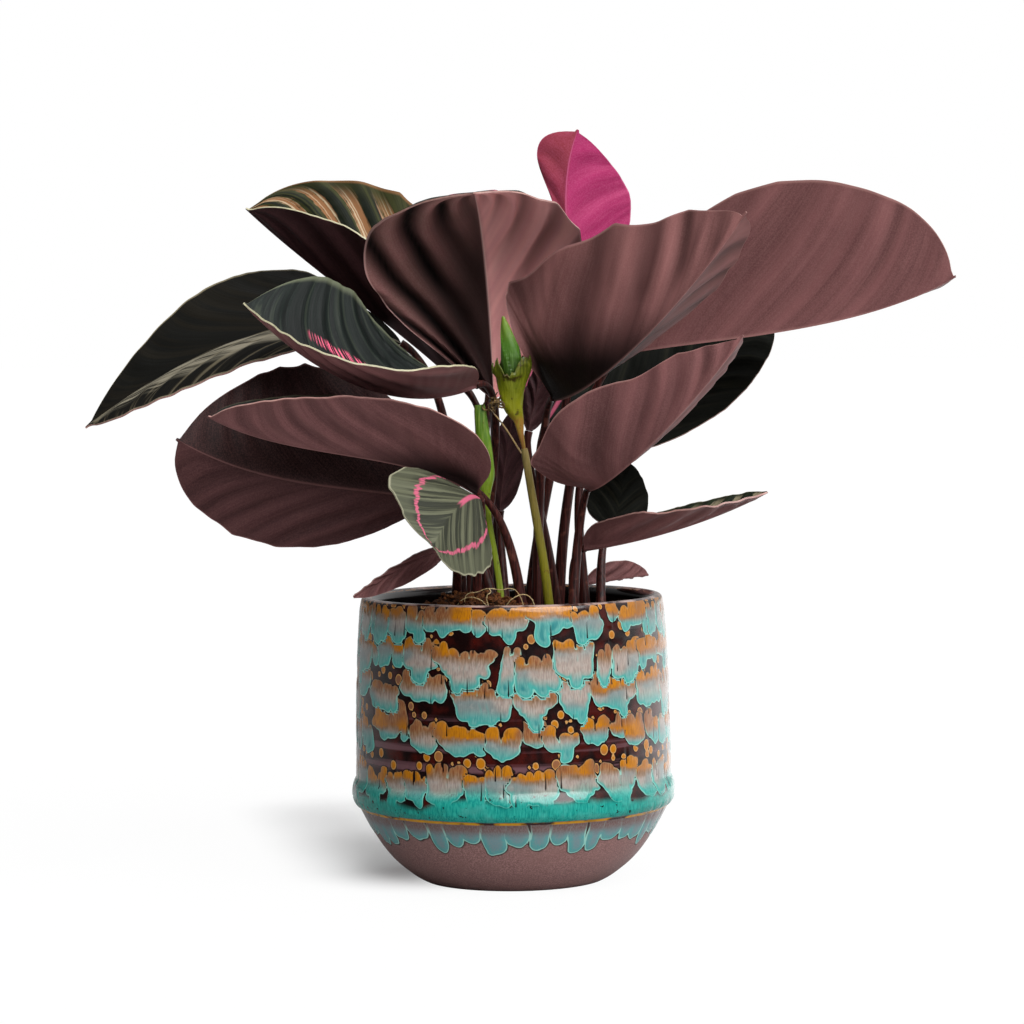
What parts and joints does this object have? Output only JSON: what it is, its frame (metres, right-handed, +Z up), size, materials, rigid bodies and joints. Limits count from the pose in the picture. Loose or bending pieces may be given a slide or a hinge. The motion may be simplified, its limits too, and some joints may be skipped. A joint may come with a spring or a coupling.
{
  "type": "potted calathea",
  "caption": "Dottie calathea with folded, pleated purple-backed leaves on thin stalks, standing in soil in a round drip-glazed stoneware pot.",
  "frame": {"origin": "middle of the pot's flat foot, on the surface that it stands on", "axes": "+Z up, -Y towards the front of the plant, +X to the right seen from the front"},
  "size_m": [0.4044, 0.2548, 0.3572],
  "materials": {
    "glaze": "glossy drip glaze in ochre, lilac and turquoise on near-black, matt mauve-brown low bowl",
    "soil": "rough damp coir",
    "blade": "satin, burgundy underneath and near-black green above with pink lines",
    "young_blade": "satin, bright magenta with a pale midrib",
    "stalk": "satin dark red-brown",
    "shoot": "satin yellow-green"
  },
  "bodies": {
    "root": {"leaf_far_left": "blade", "stalk_far_left": "stalk", "leaf_upper_left": "blade", "stalk_upper_left": "stalk", "leaf_centre": "blade", "stalk_centre": "stalk", "leaf_front_right": "blade", "stalk_front_right": "stalk", "leaf_far_right": "blade", "stalk_far_right": "stalk", "leaf_young_top": "young_blade", "stalk_young_top": "stalk", "leaf_low_right": "blade", "stalk_low_right": "stalk", "leaf_shaded_right": "blade", "stalk_shaded_right": "stalk", "leaf_narrow_right": "blade", "stalk_narrow_right": "stalk", "leaf_rim_right": "blade", "stalk_rim_right": "stalk", "leaf_round_right": "blade", "stalk_round_right": "stalk", "leaf_cupped_left": "blade", "stalk_cupped_left": "stalk", "leaf_lower_left": "blade", "stalk_lower_left": "stalk", "leaf_broad_left": "blade", "stalk_broad_left": "stalk", "leaf_hanging_front": "blade", "stalk_hanging_front": "stalk", "leaf_pointed_left": "blade", "stalk_pointed_left": "stalk", "leaf_back_left": "blade", "stalk_back_left": "stalk", "leaf_back_right": "blade", "stalk_back_right": "stalk", "leaf_dark_middle": "blade", "stalk_dark_middle": "stalk", "leaf_inner_right": "blade", "stalk_inner_right": "stalk", "shoot_open": "shoot", "shoot_slim": "shoot", "pot": "glaze", "soil": "soil"}
  },
  "joints": []
}
